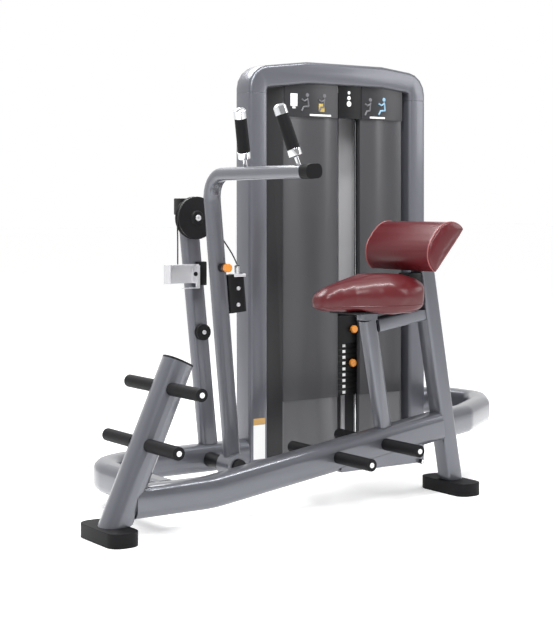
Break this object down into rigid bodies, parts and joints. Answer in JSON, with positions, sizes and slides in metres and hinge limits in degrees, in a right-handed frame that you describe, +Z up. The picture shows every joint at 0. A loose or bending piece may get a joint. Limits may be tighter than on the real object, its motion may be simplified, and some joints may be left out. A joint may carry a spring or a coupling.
{
  "type": "seated cable row",
  "caption": "Selectorised row machine: curved tube base, framed weight tower, pivoting pull arm with two handles, narrow seat, half-roll lumbar pad and foot pegs.",
  "frame": {"origin": "middle of the footrest post's rubber foot, on the floor", "axes": "+X from the footrest post to the rear leg, along the user's beam; +Y from the user's beam to the weight tower; +Z up"},
  "size_m": [2.1399, 1.058, 1.757],
  "materials": {
    "frame_paint": "metallic grey powder coat",
    "black_rubber": "matt moulded rubber",
    "black_plastic": "satin",
    "black_steel": "satin black paint",
    "shroud_plastic": "satin dark grey",
    "maroon_vinyl": "grained upholstery vinyl",
    "bright_chrome": "polished",
    "silver_metal": "satin",
    "orange_plastic": "gloss",
    "cable_jacket": "smooth jacket"
  },
  "bodies": {
    "frame": {"footrest_post": "frame_paint", "user_beam": "frame_paint", "peg_bracket": "frame_paint", "ring_left_loop": "frame_paint", "ring_rear_run": "frame_paint", "ring_right_loop": "frame_paint", "rear_leg": "frame_paint", "seat_post": "frame_paint", "seat_rail": "frame_paint", "tower_left_upright": "frame_paint", "tower_right_upright": "frame_paint", "tower_arch": "frame_paint", "tower_base": "frame_paint", "rear_upright": "frame_paint", "upper_foot_peg_bar": "black_steel", "lower_foot_peg_bar": "black_steel", "front_beam_peg_bar": "black_steel", "rear_beam_peg_bar": "black_steel", "upper_foot_peg_grip_near": "black_rubber", "upper_foot_peg_grip_far": "black_rubber", "lower_foot_peg_grip_near": "black_rubber", "lower_foot_peg_grip_far": "black_rubber", "front_beam_peg_grip_near": "black_rubber", "front_beam_peg_grip_far": "black_rubber", "rear_beam_peg_grip_near": "black_rubber", "rear_beam_peg_grip_far": "black_rubber", "footrest_post_foot": "black_rubber", "rear_leg_foot": "black_rubber", "footrest_post_cap": "black_plastic", "placard_left": "black_plastic", "placard_right": "black_plastic", "slot_header": "black_plastic", "seat_plate": "black_steel", "lumbar_plate": "black_steel", "resting_plates": "black_steel", "tower_crown_plate": "black_steel", "arm_pivot_shaft": "black_steel", "shroud_left": "shroud_plastic", "shroud_right": "shroud_plastic", "rear_cover": "shroud_plastic", "seat_pad": "maroon_vinyl", "lumbar_pad": "maroon_vinyl", "guide_rod_left": "bright_chrome", "guide_rod_right": "bright_chrome", "upright_bracket": "silver_metal", "pull_cable": "cable_jacket"},
    "stack": {"stack_head": "black_plastic", "lifted_plates": "black_steel"},
    "selector": {"selector_pin": "orange_plastic"},
    "add_on": {"add_on_knob": "orange_plastic"},
    "arm": {"arm_tube": "frame_paint", "arm_end_cap": "black_rubber", "handle_core_near": "bright_chrome", "handle_core_far": "bright_chrome", "handle_grip_near": "black_rubber", "handle_grip_far": "black_rubber", "cable_housing": "black_plastic"},
    "start_plunger": {"start_pin": "orange_plastic"},
    "disc": {"cable_disc": "black_plastic"},
    "idler": {"lower_pulley": "black_plastic"}
  },
  "joints": [
    {"name": "stack_lift", "type": "slide", "parent": "frame", "child": "stack", "axis": [0, 0, 1], "range_m": [0, 0.35]},
    {"name": "arm_pivot", "type": "hinge", "parent": "frame", "child": "arm", "pos_m": [0.764, 0, 0.122], "axis": [0, 1, 0], "range_deg": [0, 25], "deforming": ["pull_cable"]},
    {"name": "selector_pull", "type": "slide", "parent": "stack", "child": "selector", "axis": [0, -1, 0], "range_m": [0, 0.03]},
    {"name": "add_on_pull", "type": "slide", "parent": "stack", "child": "add_on", "axis": [0, -1, 0], "range_m": [0, 0.008]},
    {"name": "start_pin_pull", "type": "slide", "parent": "arm", "child": "start_plunger", "axis": [0, -1, 0], "range_m": [0, 0.012], "stiffness_N_per_m": 900, "springref_m": -0.004},
    {"name": "disc_turn", "type": "hinge", "parent": "frame", "child": "disc", "pos_m": [0.7, 0.58, 1.098], "axis": [0, 1, 0], "range_deg": [0, 246]},
    {"name": "idler_turn", "type": "hinge", "parent": "frame", "child": "idler", "pos_m": [0.738, 0.589, 0.636], "axis": [0, 1, 0], "continuous": true}
  ],
  "couplings": [
    {"joint": "arm_pivot", "follows": "stack_lift", "rad_per_m": 1.24},
    {"joint": "disc_turn", "follows": "stack_lift", "rad_per_m": 12.2}
  ]
}
